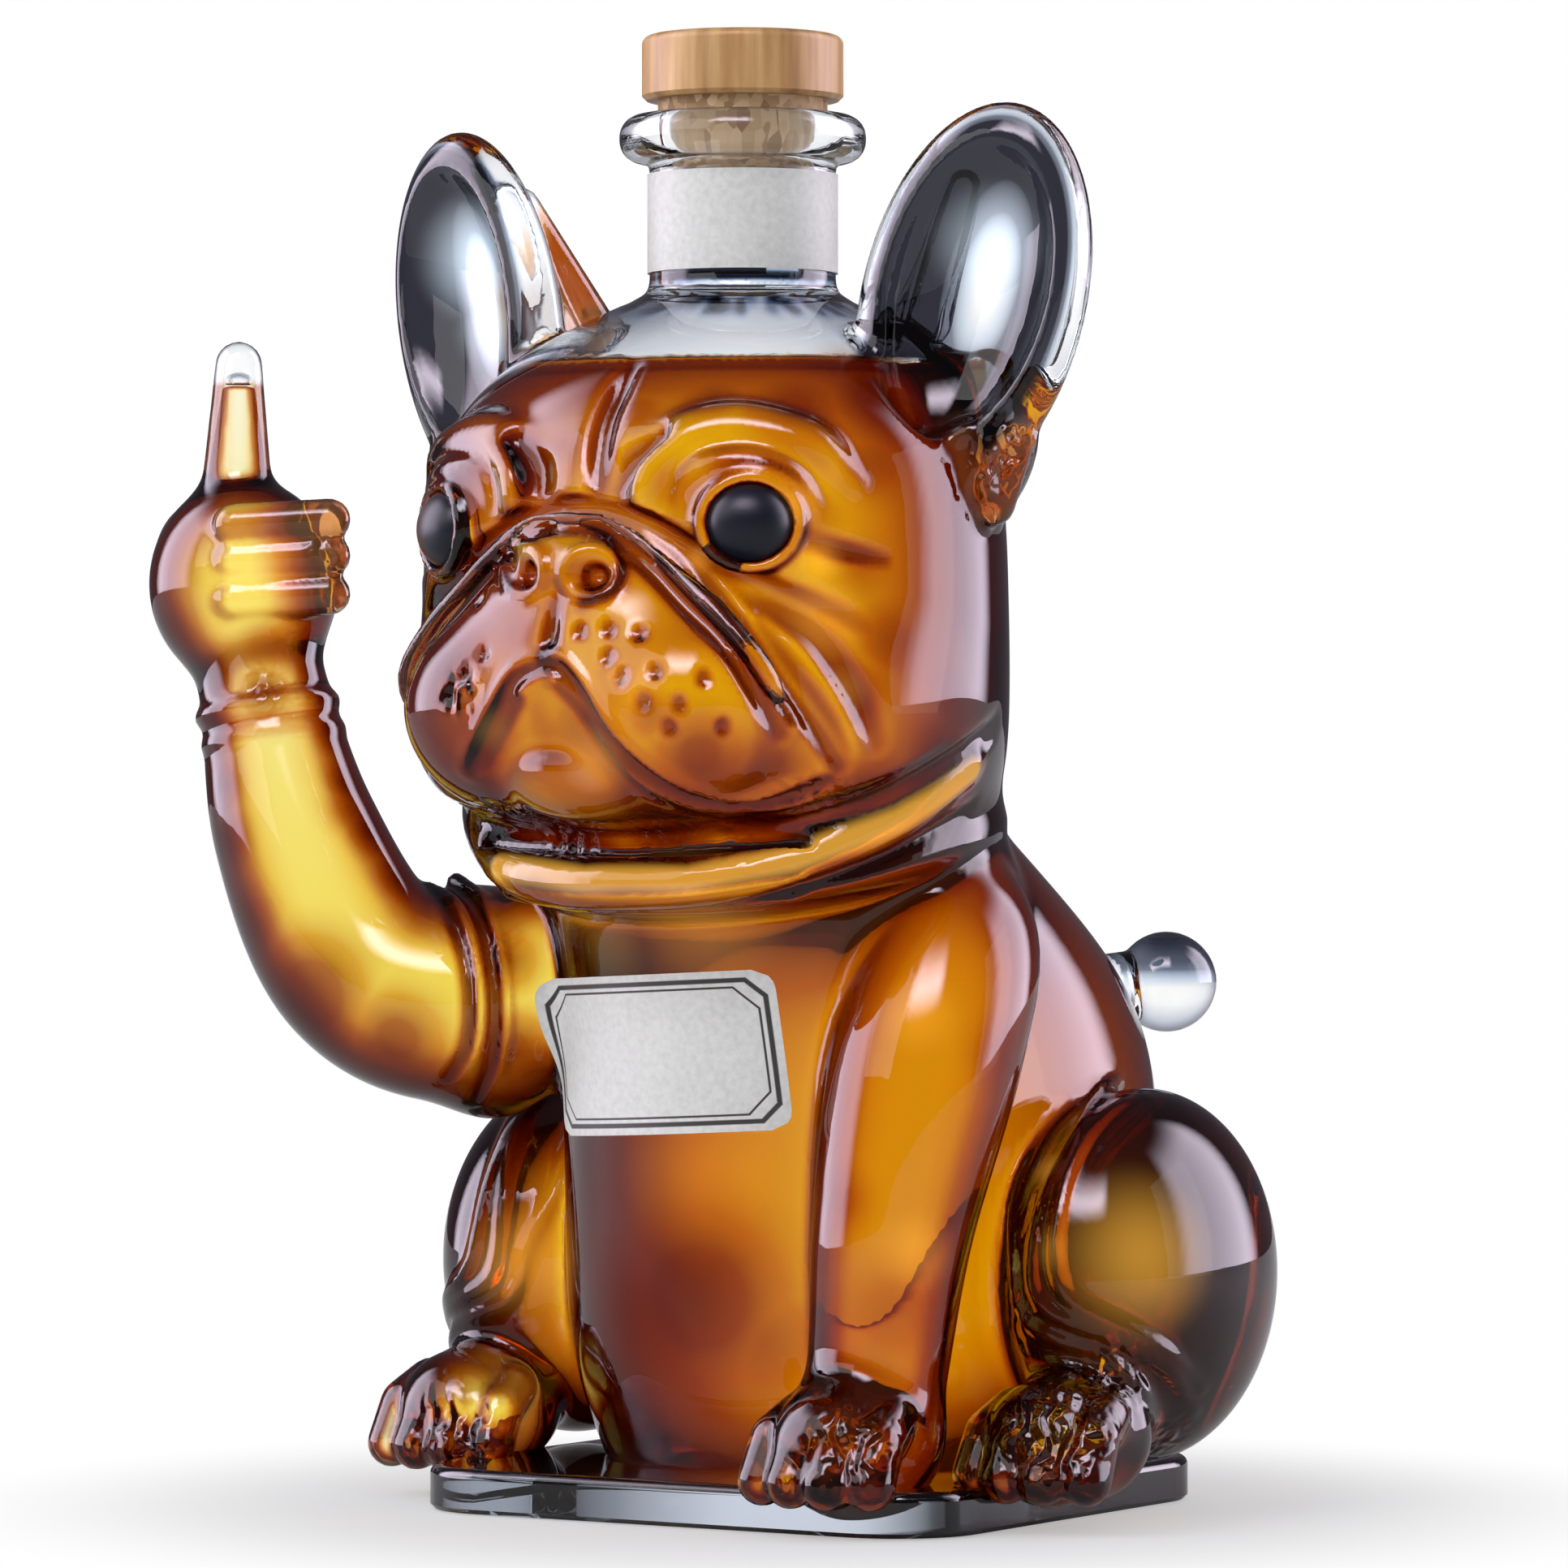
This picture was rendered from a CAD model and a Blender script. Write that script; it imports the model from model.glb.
"""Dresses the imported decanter: a lampworked glass bulldog full of amber liquor, under plain studio light.

The glass is a distance field in millimetres, meshed, so that welds, folds and grooves run into each other as
molten glass does. The face's features are placed by the photograph's pixels, on the surface they show.
"""
import bpy
import math
import numpy as np
import openvdb
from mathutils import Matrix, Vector


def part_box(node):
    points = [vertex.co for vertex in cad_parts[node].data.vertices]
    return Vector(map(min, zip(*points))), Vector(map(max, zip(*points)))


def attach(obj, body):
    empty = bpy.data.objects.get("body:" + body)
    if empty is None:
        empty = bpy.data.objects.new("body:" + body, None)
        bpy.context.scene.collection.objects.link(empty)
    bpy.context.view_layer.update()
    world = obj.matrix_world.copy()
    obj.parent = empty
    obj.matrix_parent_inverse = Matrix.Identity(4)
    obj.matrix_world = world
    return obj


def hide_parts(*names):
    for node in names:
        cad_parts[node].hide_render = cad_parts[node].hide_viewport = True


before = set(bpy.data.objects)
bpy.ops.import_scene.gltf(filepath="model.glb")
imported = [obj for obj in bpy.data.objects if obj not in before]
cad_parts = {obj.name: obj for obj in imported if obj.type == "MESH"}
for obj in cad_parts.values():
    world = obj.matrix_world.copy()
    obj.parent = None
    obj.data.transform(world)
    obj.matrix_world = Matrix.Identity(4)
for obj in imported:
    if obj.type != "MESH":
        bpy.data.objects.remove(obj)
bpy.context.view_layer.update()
MM = 0.001

# The photograph's camera: level, found from the stopper, the slab and the eyes
PHOTO_PIXELS = 1932
FOCAL_PIXELS = 9231
CAMERA_AZIMUTH = math.radians(32)
CAMERA_DISTANCE = 1200.0
AIM_SIDE = -4.4
AIM_RISE = 115.0
RIGHT = np.array([math.cos(CAMERA_AZIMUTH), math.sin(CAMERA_AZIMUTH), 0.0])
BACK = np.array([math.sin(CAMERA_AZIMUTH), -math.cos(CAMERA_AZIMUTH), 0.0])
UP = np.array([0.0, 0.0, 1.0])
AIM = RIGHT * AIM_SIDE + UP * AIM_RISE
EYE_POINT = AIM + BACK * CAMERA_DISTANCE
# How long a piece of a ray is searched for the surface
SEARCH_DEPTH = 300


# Distance fields

def smooth_min(a, b, k):
    """The lesser of two distances, blended over k where they are nearly equal."""
    if k <= 0:
        return np.minimum(a, b)
    h = np.clip(0.5 + 0.5 * (b - a) / k, 0, 1)
    return b + (a - b) * h - k * h * (1 - h)


class Field:
    """Signed distances on a grid: negative inside. A shape is its low corner, high corner and distance."""

    def __init__(self, low, high, voxel, far=12.0):
        self.low = np.array(low, np.float32)
        self.voxel = voxel
        self.count = tuple(int(math.ceil((h - l) / voxel)) + 1 for l, h in zip(low, high))
        self.d = np.full(self.count, far, np.float32)

    def copy(self):
        other = Field.__new__(Field)
        other.low, other.voxel, other.count, other.d = self.low, self.voxel, self.count, self.d.copy()
        return other

    def block(self, low, high):
        """The slice of the grid between two corners, and its coordinates."""
        first = [max(0, int(math.floor((l - o) / self.voxel))) for l, o in zip(low, self.low)]
        ends = zip(high, self.low, self.count)
        last = [min(n, int(math.ceil((h - o) / self.voxel)) + 1) for h, o, n in ends]
        if any(b <= a for a, b in zip(first, last)):
            return None, None
        axes = [self.low[i] + self.voxel * np.arange(first[i], last[i], dtype=np.float32) for i in range(3)]
        where = tuple(slice(a, b) for a, b in zip(first, last))
        return where, np.meshgrid(*axes, indexing="ij", sparse=True)

    def change(self, shape, k, sign):
        low, high, distance = shape
        margin = k + 5.0
        where, at = self.block([x - margin for x in low], [x + margin for x in high])
        if where is not None:
            self.d[where] = sign * smooth_min(sign * self.d[where], distance(at), k)

    def add(self, shape, k=0.0):
        self.change(shape, k, 1)

    def cut(self, shape, k=0.0):
        self.change(shape, k, -1)

    def keep_between(self, low, high):
        """Cuts away what lies under one height and over another."""
        heights = self.low[2] + self.voxel * np.arange(self.count[2], dtype=np.float32)
        self.d = np.maximum(self.d, np.maximum(low - heights, heights - high)[None, None, :])

    def soften(self, passes):
        """Blurs the field a little, as a flame rounds what is cut into glass."""
        for _ in range(passes):
            for axis in range(3):
                last = self.d.shape[axis] - 1
                before = np.take(self.d, [0] + list(range(last)), axis)
                after = np.take(self.d, list(range(1, last + 1)) + [last], axis)
                self.d = (before + 2 * self.d + after) / 4

    def sample(self, points):
        """Distances at points, between the grid's values."""
        p = (np.asarray(points, np.float64) - self.low) / self.voxel
        p = np.clip(p, 0, np.array(self.count) - 1.001)
        i = p.astype(int)
        f = p - i
        total = 0
        for corner in range(8):
            step = np.array([corner & 1, corner >> 1 & 1, corner >> 2 & 1])
            weight = np.prod(np.where(step, f, 1 - f), axis=-1)
            j = i + step
            total = total + weight * self.d[j[..., 0], j[..., 1], j[..., 2]]
        return total

    def normals(self, points):
        """The outward direction at points."""
        step = np.eye(3) * self.voxel
        slope = np.stack([self.sample(points + s) - self.sample(points - s) for s in step], axis=-1)
        return slope / np.maximum(np.linalg.norm(slope, axis=-1, keepdims=True), 1e-9)

    def hit(self, starts, ways, reach, step=0.5):
        """Where rays first meet the surface. A ray that misses stops where it comes nearest."""
        along = np.arange(0, reach, step)
        starts, ways = np.asarray(starts, float), np.asarray(ways, float)
        d = self.sample(starts[:, None] + ways[:, None] * along[None, :, None])
        inside = d < 0
        first = np.where(inside.any(1), inside.argmax(1), d.argmin(1))
        row = np.arange(len(first))
        before = d[row, np.maximum(first - 1, 0)]
        share = np.where(inside.any(1), before / np.maximum(before - d[row, first], 1e-6), 1)
        return starts + ways * ((first - 1 + share) * step)[:, None]


def turned(x=0, y=0, z=0):
    """A turn in degrees about X, then Y, then Z."""
    x, y, z = (math.radians(v) for v in (x, y, z))
    cx, sx, cy, sy, cz, sz = math.cos(x), math.sin(x), math.cos(y), math.sin(y), math.cos(z), math.sin(z)
    about_x = np.array([[1, 0, 0], [0, cx, -sx], [0, sx, cx]])
    about_y = np.array([[cy, 0, sy], [0, 1, 0], [-sy, 0, cy]])
    about_z = np.array([[cz, -sz, 0], [sz, cz, 0], [0, 0, 1]])
    return about_z @ about_y @ about_x


def ellipsoid(centre, half, turn=None, grow=0.0):
    """An ellipsoid by its centre and half sizes."""
    centre, half = np.array(centre, float), np.array(half, float) + grow
    reach = half if turn is None else np.full(3, half.max())

    def distance(p):
        q = [p[i] - centre[i] for i in range(3)]
        if turn is not None:
            q = [turn[0][i] * q[0] + turn[1][i] * q[1] + turn[2][i] * q[2] for i in range(3)]
        near = np.sqrt(sum((q[i] / half[i]) ** 2 for i in range(3)))
        slope = np.sqrt(sum((q[i] / half[i] ** 2) ** 2 for i in range(3)))
        return (near * (near - 1) / np.maximum(slope, 1e-6)).astype(np.float32)

    return centre - reach, centre + reach, distance


def cone(a, b, radius_a, radius_b):
    """A rod with round ends whose radius runs from one end to the other."""
    a, b = np.array(a, float), np.array(b, float)
    ab = b - a
    length_squared = max(float(ab @ ab), 1e-9)

    def distance(p):
        t = np.clip(sum((p[i] - a[i]) * ab[i] for i in range(3)) / length_squared, 0, 1)
        away = sum((p[i] - a[i] - t * ab[i]) ** 2 for i in range(3))
        return (np.sqrt(away) - (radius_a + (radius_b - radius_a) * t)).astype(np.float32)

    return np.minimum(a - radius_a, b - radius_b), np.maximum(a + radius_a, b + radius_b), distance


def chain(points, radii):
    """Rods end to end."""
    rods = [cone(a, b, ra, rb) for a, b, ra, rb in zip(points, points[1:], radii, radii[1:])]

    def distance(p):
        nearest = rods[0][2](p)
        for rod in rods[1:]:
            nearest = np.minimum(nearest, rod[2](p))
        return nearest

    return np.min([r[0] for r in rods], axis=0), np.max([r[1] for r in rods], axis=0), distance


def smooth_path(points, values, steps):
    """Points and values on a smooth curve through the given ones."""
    knots = np.column_stack([np.array(points, float), np.array(values, float)])
    knots = np.vstack([2 * knots[0] - knots[1], knots, 2 * knots[-1] - knots[-2]])
    knots[0, 3:], knots[-1, 3:] = knots[1, 3:], knots[-2, 3:]
    rows = []
    for a, b, c, d in zip(knots, knots[1:], knots[2:], knots[3:]):
        for t in np.arange(steps) / steps:
            bend = 2 * a - 5 * b + 4 * c - d
            rows.append(0.5 * (2 * b + (c - a) * t + bend * t * t + (3 * b - a - 3 * c + d) * t ** 3))
    rows.append(knots[-2])
    rows = np.array(rows)
    return rows[:, :3], rows[:, 3]


def natural_spline(xs, ys, x):
    """A natural cubic spline through (xs, ys), read at x."""
    n, h = len(xs), np.diff(xs)
    a, b = np.eye(n), np.zeros(n)
    for i in range(1, n - 1):
        a[i, i - 1:i + 2] = h[i - 1], 2 * (h[i - 1] + h[i]), h[i]
        b[i] = 6 * ((ys[i + 1] - ys[i]) / h[i] - (ys[i] - ys[i - 1]) / h[i - 1])
    m = np.linalg.solve(a, b)
    x = np.clip(x, xs[0], xs[-1])
    i = np.clip(np.searchsorted(xs, x) - 1, 0, n - 2)
    t, u, w = x - xs[i], xs[i + 1] - x, h[i]
    curve = (m[i] * u ** 3 + m[i + 1] * t ** 3) / (6 * w)
    return curve + (ys[i] / w - m[i] * w / 6) * u + (ys[i + 1] / w - m[i + 1] * w / 6) * t


def stack(rows):
    """A stack of level ellipses: rows of height, centre, half width and half depth."""
    z, centre, wide, deep = np.array(rows, float).T

    def distance(p):
        heights = p[2].ravel().astype(float)
        at, a, b = (natural_spline(z, v, heights).reshape(p[2].shape) for v in (centre, wide, deep))
        slope = np.gradient(np.minimum(a, b).ravel(), heights) if heights.size > 1 else np.zeros(1)
        lean = 1 / np.sqrt(1 + np.clip(slope, -3, 3) ** 2).reshape(p[2].shape)
        x, y = p[0], p[1] - at
        near = np.sqrt((x / a) ** 2 + (y / b) ** 2)
        grade = np.sqrt((x / a ** 2) ** 2 + (y / b ** 2) ** 2)
        side = near * (near - 1) / np.maximum(grade, 1e-6) * lean
        return np.maximum(side, np.maximum(z[0] - p[2], p[2] - z[-1])).astype(np.float32)

    return (-wide.max(), (centre - deep).min(), z[0]), (wide.max(), (centre + deep).max(), z[-1]), distance


def disc(centre, radius, bottom, top, rounding):
    """An upright round disc with rounded edges."""

    def distance(p):
        q = np.sqrt((p[0] - centre[0]) ** 2 + (p[1] - centre[1]) ** 2) - radius + rounding
        v = np.abs(p[2] - (bottom + top) / 2) - (top - bottom) / 2 + rounding
        outside = np.sqrt(np.maximum(q, 0) ** 2 + np.maximum(v, 0) ** 2)
        return (np.minimum(np.maximum(q, v), 0) + outside - rounding).astype(np.float32)

    low = (centre[0] - radius, centre[1] - radius, bottom)
    return low, (centre[0] + radius, centre[1] + radius, top), distance


# The dog's forms, in millimetres: rows of height, centre, half width and half depth
TORSO = (
    (6.6, 9, 38, 37), (20, 13, 43, 47.5), (42, 15.5, 45, 54), (64, 15.5, 44.5, 56), (84, 9, 42, 52.5),
    (99, -3, 38.5, 43), (111, -14, 35, 34),
)
SKULL = (
    (104, -18, 36, 35), (114, -23, 43, 38), (128, -27, 47, 40), (144, -29, 48, 40.5), (158, -29, 47.5, 39.5),
    (170, -27.5, 44.5, 37), (179.5, -25, 37.5, 32), (186.5, -22.5, 27, 25), (191.5, -20.6, 16.5, 16.5),
)
# Limbs: points along the middle, and the radius at each
FORELEG = ((30, -8, 98), (36, -17, 88), (36, -25, 72), (33.8, -30.6, 47), (32, -32.3, 25), (31, -35, 14))
FORELEG_RADII = (11, 14, 15, 12.6, 11, 11.5)
ARM = (
    (-31, -12, 87), (-48, -28, 80), (-63.5, -34.5, 86.5), (-74, -38, 107), (-80, -38, 128), (-84, -37, 140),
)
ARM_RADII = (16, 16.2, 15.6, 13.4, 10.6, 10.5)
LIMB_STEPS = 14
NECK = (0, -20.6)
NECK_RADIUS = 14.7
NECK_FOOT = 184
BORE_RADIUS = 11.5
BORE_FOOT = 180
BORE_OVER = 8
LIP_RADIUS = 19.5
LIP_HEIGHT = 7.5
MOUTH_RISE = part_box("bottle_neck")[1][2] / MM
FILL_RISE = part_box("liquor")[1][2] / MM
WALL = 3.0
# How far the liquor's mesh stays under its level, and clear of the eyes
SEEP = 0.1
EYE_CLEAR = 1.2
EYE_HALF = (6.7, 4.6, 6.0)
EYE_TURN = 34.0
VOXEL = 0.7
FIELD_LOW = (-112, -84, -3)
FIELD_HIGH = (82, 94, 224)

# Blown forms: centre, half sizes, turn in degrees, blend, and whether both sides have one. The haunches
TORSO_FORMS = (((53, 13, 37.5), (19, 29, 29.5), (-8, 0, 0), 4, True),)
# Cheeks, muzzle, jowls, eye sockets, fist and shoulder
HEAD_FORMS = (
    ((24, -36, 126), (22, 28, 20), (0, 0, 0), 7, True),
    ((0, -58, 133), (28, 20, 22), (0, 0, 0), 4, False),
    ((15, -59.3, 127), (19, 19, 17), (0, 0, -25), 3, True),
    ((24, -57, 156.5), (11, 9, 10), (0, 0, EYE_TURN), 4, True),
    ((-86, -36, 147.5), (16, 14, 17), (0, 0, 0), 3, False),
    ((-48, -23, 80), (14, 15, 19), (0, -12, 0), 3, False),
)
COLLAR_FORM = (((0, -21, 106), (42, 39, 9.5), (11, 0, 0), 5, False),)
COLLAR_WALL = 2.2

# Paws: side and forward place. Heel: forward, rise, radius. Toe: spread, forward, set-back, rise, radius
PAWS = ((31, 39), (55, 15), (-55, 15))
PAW_WALL = 1.8
HEEL = ((6, 14.5, 11), (-4, 13.5, 10))
TOE_PLACES = (-1.5, -0.5, 0.5, 1.5)
TOE = ((5.2, -1, 0, 17.5, 4.2), (6.0, -9, 1.6, 14.5, 4.2), (6.4, -13, 2.2, 8.4, 4.0))

# Ears: place, half sizes, lean, turn, root, the dish in front, and folds by both ends and radius
EAR_PLACE = (46.0, -27.0, 189.5)
EAR_HALF = (17.8, 8, 31)
EAR_LEAN = 14
EAR_TURN = 16
EAR_ROOT = ((42, -22, 168), (11, 9, 15))
EAR_DISH_PLACE = (0, -7.5, 2.0)
EAR_DISH = (13.2, 9, 24)
FOLD_TAPER = 0.6
EAR_FOLDS = (
    ((45, -29, 160), (52, -29, 168), 3.4), ((49, -26, 158), (54, -25, 168), 3.4),
    ((40, -30, 165), (47, -31, 169), 2.6), ((50, -30, 160), (50, -31, 168), 1.6),
    ((31, -17, 187), (41, -22, 208), 4.6), ((33, -24, 186), (41.5, -26, 207), 4.2),
)
# Tail, raised finger and its hollow, curled fingers, knuckle, and the wrist's weld rings
TAIL_ROOT = (14, 58, 80)
TAIL_BALL = (23.5, 74.5, 82)
TAIL_BALL_RADIUS = 8.4
TAIL_STEM_RADIUS = 6
FINGER = ((-87.5, -36, 158), (-87, -36, 183), 6.2, 3.8)
FINGER_HOLLOW = ((-87.5, -36, 158), (-87, -36, 180), 4.2, 1.8)
CURLED = ((-80, -46.5, 151), (-67.5, -38, 152), 3.6, 3.4)
CURLED_LIFTS = (-6.5, -0.3, 5.5)
KNUCKLE = ((-96, -35, 153), (6.2, 6.5, 7.5))
WELDS = (((-79.8, -38, 127), 10.2, 1.7), ((-78.6, -38, 122.5), 10.5, 1.3))
WELD_LEAN = -10
ROUND = np.linspace(0, 2 * math.pi, 25)

# Lines drawn on the surface: how slowly one starts, over how many points, and the steps between points
TAPER_START = 0.3
TAPER_LENGTH = 1.4
CREASE_STEPS = 4
GROOVES = []

# The chest label, and its frame's lines: inset, corner cut and thickness
LABEL_PLACE = (-6.0, 72.8)
LABEL_SIZE = (48.0, 25.0)
LABEL_CORNER = 3.0
LABEL_TILT = math.radians(3.0)
LABEL_LIFT = 0.5
LABEL_GRID = (48, 24)
LABEL_START = -80.0
LABEL_REACH = 90
HALF_ROOT = 0.7071
FRAME_LINES = ((1.5, 2.6, 0.75), (2.6, 3.4, 0.34))


def eye_centre(side):
    low, high = (np.array(corner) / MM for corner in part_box("eye_left" if side > 0 else "eye_right"))
    return (low + high) / 2


def add_forms(f, forms, grow=0.0):
    """Adds a table's round forms."""
    for centre, half, (x, y, z), blend, mirrored in forms:
        for side in (1, -1) if mirrored else (1,):
            turn = turned(x, side * y, side * z) if mirrored or x or y or z else None
            f.add(ellipsoid((side * centre[0], centre[1], centre[2]), half, turn, grow), blend)


def vessel(grow=0.0):
    """What is blown hollow: torso, haunches, head, muzzle, standing leg, raised arm and fist."""
    f = Field(FIELD_LOW, FIELD_HIGH, VOXEL)
    f.add(stack([(z, c, a + grow, b + grow) for z, c, a, b in TORSO]))
    add_forms(f, TORSO_FORMS, grow)
    for points, radii in ((FORELEG, FORELEG_RADII), (ARM, ARM_RADII)):
        route, sizes = smooth_path(points, radii, LIMB_STEPS)
        f.add(chain(route, sizes + grow), 4)
    f.add(stack([(z, c, a + grow, b + grow) for z, c, a, b in SKULL]), 3)
    add_forms(f, HEAD_FORMS, grow)
    return f


def paw(f, spread, forward, grow=0.0):
    """A heel and four toes that droop over the slab's edge."""
    (back, back_rise, back_radius), (front, front_rise, front_radius) = HEEL
    ends = (spread, back - forward, back_rise), (spread, front - forward, front_rise)
    f.add(cone(*ends, back_radius + grow, front_radius + grow), 4)
    for place in TOE_PLACES:
        joints = [(spread + place * wide, ahead - forward + abs(place) * set_back, rise)
                  for wide, ahead, set_back, rise, _ in TOE]
        f.add(chain(joints, [row[-1] + grow for row in TOE]), 0.7)


def on_photo(f, pixels):
    """The points of the surface that these pixels of the photograph show."""
    offset = np.array(pixels, float) - PHOTO_PIXELS / 2
    ways = -BACK * FOCAL_PIXELS + RIGHT * offset[:, :1] - UP * offset[:, 1:]
    ways = ways / np.linalg.norm(ways, axis=1, keepdims=True)
    return f.hit(EYE_POINT + ways * (CAMERA_DISTANCE - SEARCH_DEPTH / 2), ways, SEARCH_DEPTH)


def shifted(line, x, y):
    """A line of pixels moved sideways and down."""
    return [(a + x, b + y) for a, b in line]


def crease(f, base, pixels, radius, lift, k, mirrored, raised):
    """A groove, or a ridge where it is raised, along a line of pixels. Lift is its depth or height."""
    points = on_photo(base, pixels)
    radii = np.full(len(points), float(radius)) if np.isscalar(radius) else np.array(radius, float)
    count = np.arange(len(points))
    taper = np.minimum(1, (np.minimum(count, count[::-1]) + TAPER_START) / TAPER_LENGTH)
    shift = (lift * taper - radii if raised else radii - lift * taper)[:, None]
    route, sizes = smooth_path(points + base.normals(points) * shift, radii, CREASE_STEPS)
    for side in (1, -1) if mirrored else (1,):
        shape = chain(route * np.array((side, 1, 1)), sizes)
        if raised:
            f.add(shape, k)
        else:
            f.cut(shape, k)
            GROOVES.append(shape)


# Lines of the face and body, in the photograph's pixels
BROW = ((796, 650), (790, 598), (812, 562), (850, 538), (900, 526), (955, 533), (1005, 552), (1052, 596))
LID = ((832, 612), (850, 580), (885, 566), (935, 566), (978, 586), (1006, 622))
FOREHEAD_LINE = ((736, 622), (736, 570), (744, 518), (761, 479), (778, 452))
WRINKLE = ((664, 618), (660, 577), (640, 545))
FOLD_OUTER = (
    (511, 776), (558, 713), (621, 655), (689, 629), (740, 624), (790, 644), (840, 684), (890, 744),
    (947, 808), (990, 870), (1034, 943),
)
FOLD_INNER = (
    (570, 722), (625, 668), (700, 648), (750, 662), (800, 700), (846, 748), (898, 800), (930, 850),
    (960, 905),
)
CHEEK_UPPER = ((893, 708), (951, 744), (1003, 776), (1034, 817), (1061, 865), (1081, 917))
CHEEK_LOWER = ((940, 770), (982, 833), (1013, 880), (1036, 926))
EYE_CORNER = ((998, 664), (1040, 678), (1090, 690))
PHILTRUM = ((683, 742), (676, 786), (668, 822))
MOUTH = (
    (668, 822), (689, 823), (715, 854), (741, 896), (773, 932), (825, 969), (898, 990), (971, 980),
    (1019, 960),
)
MOUTH_FAR = ((664, 822), (637, 838), (616, 875), (595, 917), (580, 950))
COLLAR = ((611, 1069), (715, 1084), (846, 1084), (977, 1058), (1108, 1011), (1200, 950))
JAW = ((653, 1036), (794, 1050), (951, 1023), (1081, 987), (1175, 935), (1228, 888))
HAUNCH_OUTER = (
    (1322, 1358), (1274, 1424), (1251, 1490), (1251, 1561), (1262, 1622), (1303, 1650), (1359, 1668),
    (1402, 1706), (1425, 1752),
)
HAUNCH_MIDDLE = (
    (1383, 1327), (1343, 1372), (1312, 1424), (1291, 1471), (1277, 1519), (1272, 1575), (1284, 1608),
    (1322, 1630), (1369, 1646), (1416, 1670), (1449, 1700), (1473, 1740),
)
HAUNCH_INNER = (
    (1407, 1349), (1369, 1368), (1336, 1405), (1317, 1443), (1305, 1490), (1300, 1538), (1306, 1580),
    (1325, 1606), (1350, 1620), (1392, 1640), (1444, 1672), (1482, 1712),
)
SHOULDER = (
    ((530, 1084), (560, 1116), (582, 1172), (590, 1236), (584, 1292), (560, 1332)),
    ((560, 1076), (592, 1110), (614, 1168), (622, 1240), (616, 1306), (594, 1362)),
)
NOSE_OUTLINE = (
    (630, 728), (620, 700), (632, 668), (678, 653), (727, 653), (757, 671), (767, 702), (755, 730),
    (718, 745),
)
NOSTRILS = ((646, 705, 25, 30), (727, 707, 33, 30))
DIMPLES = (
    (713, 779), (749, 776), (786, 781), (747, 810), (764, 835), (806, 828), (867, 837), (792, 867),
    (836, 870), (824, 899), (891, 899), (595, 807), (572, 833), (590, 739), (553, 859),
)
FOLD_MIDDLE = [((a + c) / 2, (b + d) / 2) for (a, b), (c, d) in zip(FOLD_OUTER[1:10], FOLD_INNER)]

# Ridges and grooves: line, radii, height or depth, blend, on both sides, raised. First the face's
FACE_LINES = (
    (BROW, (2.4, 4.0, 4.8, 5.0, 5.0, 4.8, 4.0, 2.4), 3.0, 2.0, True, True),
    (LID, (1.6, 2.2, 2.4, 2.4, 2.2, 1.6), 1.4, 1.0, True, True),
    (FOREHEAD_LINE, (1.4, 1.8, 2.0, 1.8, 1.2), 2.0, 2.0, False, False),
    (WRINKLE, (2.2, 2.4, 1.4), 2.0, 3.0, True, False),
    (FOLD_MIDDLE, 3.6, 2.4, 1.5, True, True),
    (FOLD_OUTER, 1.6, 1.8, 1.5, True, False),
    (FOLD_INNER, 1.3, 1.3, 1.2, True, False),
    (FOLD_MIDDLE[2:], 0.8, 2.0, 0.5, True, False),
    (CHEEK_UPPER, (1.0, 1.8, 2.2, 2.2, 1.8, 1.0), 1.8, 2.5, True, False),
    (CHEEK_LOWER, (1.0, 1.6, 1.6, 1.0), 1.4, 2.0, True, False),
    (EYE_CORNER, (1.6, 1.3, 0.8), 1.4, 1.5, True, False),
)
# After the nose: philtrum, mouth, jaw, collar, haunches and shoulder
BODY_LINES = (
    (PHILTRUM, (1.0, 1.3, 1.4), 1.6, 1.2, False, False),
    *(row for line in (MOUTH, MOUTH_FAR) for row in (
        (line, 2.8, 2.0, 1.2, False, True),
        (line, 1.3, 0.6, 0.8, False, False),
        (shifted(line[1:-1], 2, 26), 1.0, 0.7, 0.6, False, False),
    )),
    (JAW, 1.6, 1.6, 1.5, True, False),
    (shifted(JAW, 0, 16), 1.0, 1.0, 0.8, True, False),
    (shifted(JAW[:-1], 0, -18), 1.0, 0.8, 0.8, True, False),
    (COLLAR, 3.8, 2.8, 1.4, True, True),
    *((shifted(COLLAR, 0, drop), 1.2, 1.1, 0.8, True, False) for drop in (-36, 38)),
    *((line, 1.5, 1.1, 0.6, True, True) for line in (HAUNCH_OUTER, HAUNCH_MIDDLE, HAUNCH_INNER)),
    *(row for line in SHOULDER for row in (
        (line, 1.6, 1.2, 0.8, False, True), (shifted(line, -12, 0), 1.0, 0.7, 0.6, False, False),
    )),
)
CHIN = ((0, -64, 117), (14, 12, 8))
NOSE = ((0, -69.6, 147.6), (9.5, 6, 6.5))

# A nostril's rim and how far it is sunk, its pit, the pit's dark part. A dimple's height, radii, dark radii
NOSTRIL_RIM = 1.3
NOSTRIL_SINK = 0.2
NOSTRIL_ROUND = np.linspace(0, 2 * math.pi, 17)
PIT = (2.1, 3.0, 2.0)
PIT_DARK = (1.6, 2.6, 1.6)
DIMPLE_HEIGHT = 0.8
DIMPLE_RADII = (1.1, 1.0)
DIMPLE_DARK = (0.8, 0.7)

# An eye's rim: clear of the eye, its place, its radius, and the dark lines round it as shares of the rim
RIM_CLEAR = 0.7
RIM_SET = -1.0
RIM_RADIUS = 1.3
RIM_LINES = (1.02, 1.42)
RIM_LINE_RADIUS = 0.5
SOCKET_CLEAR = 0.12


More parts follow.
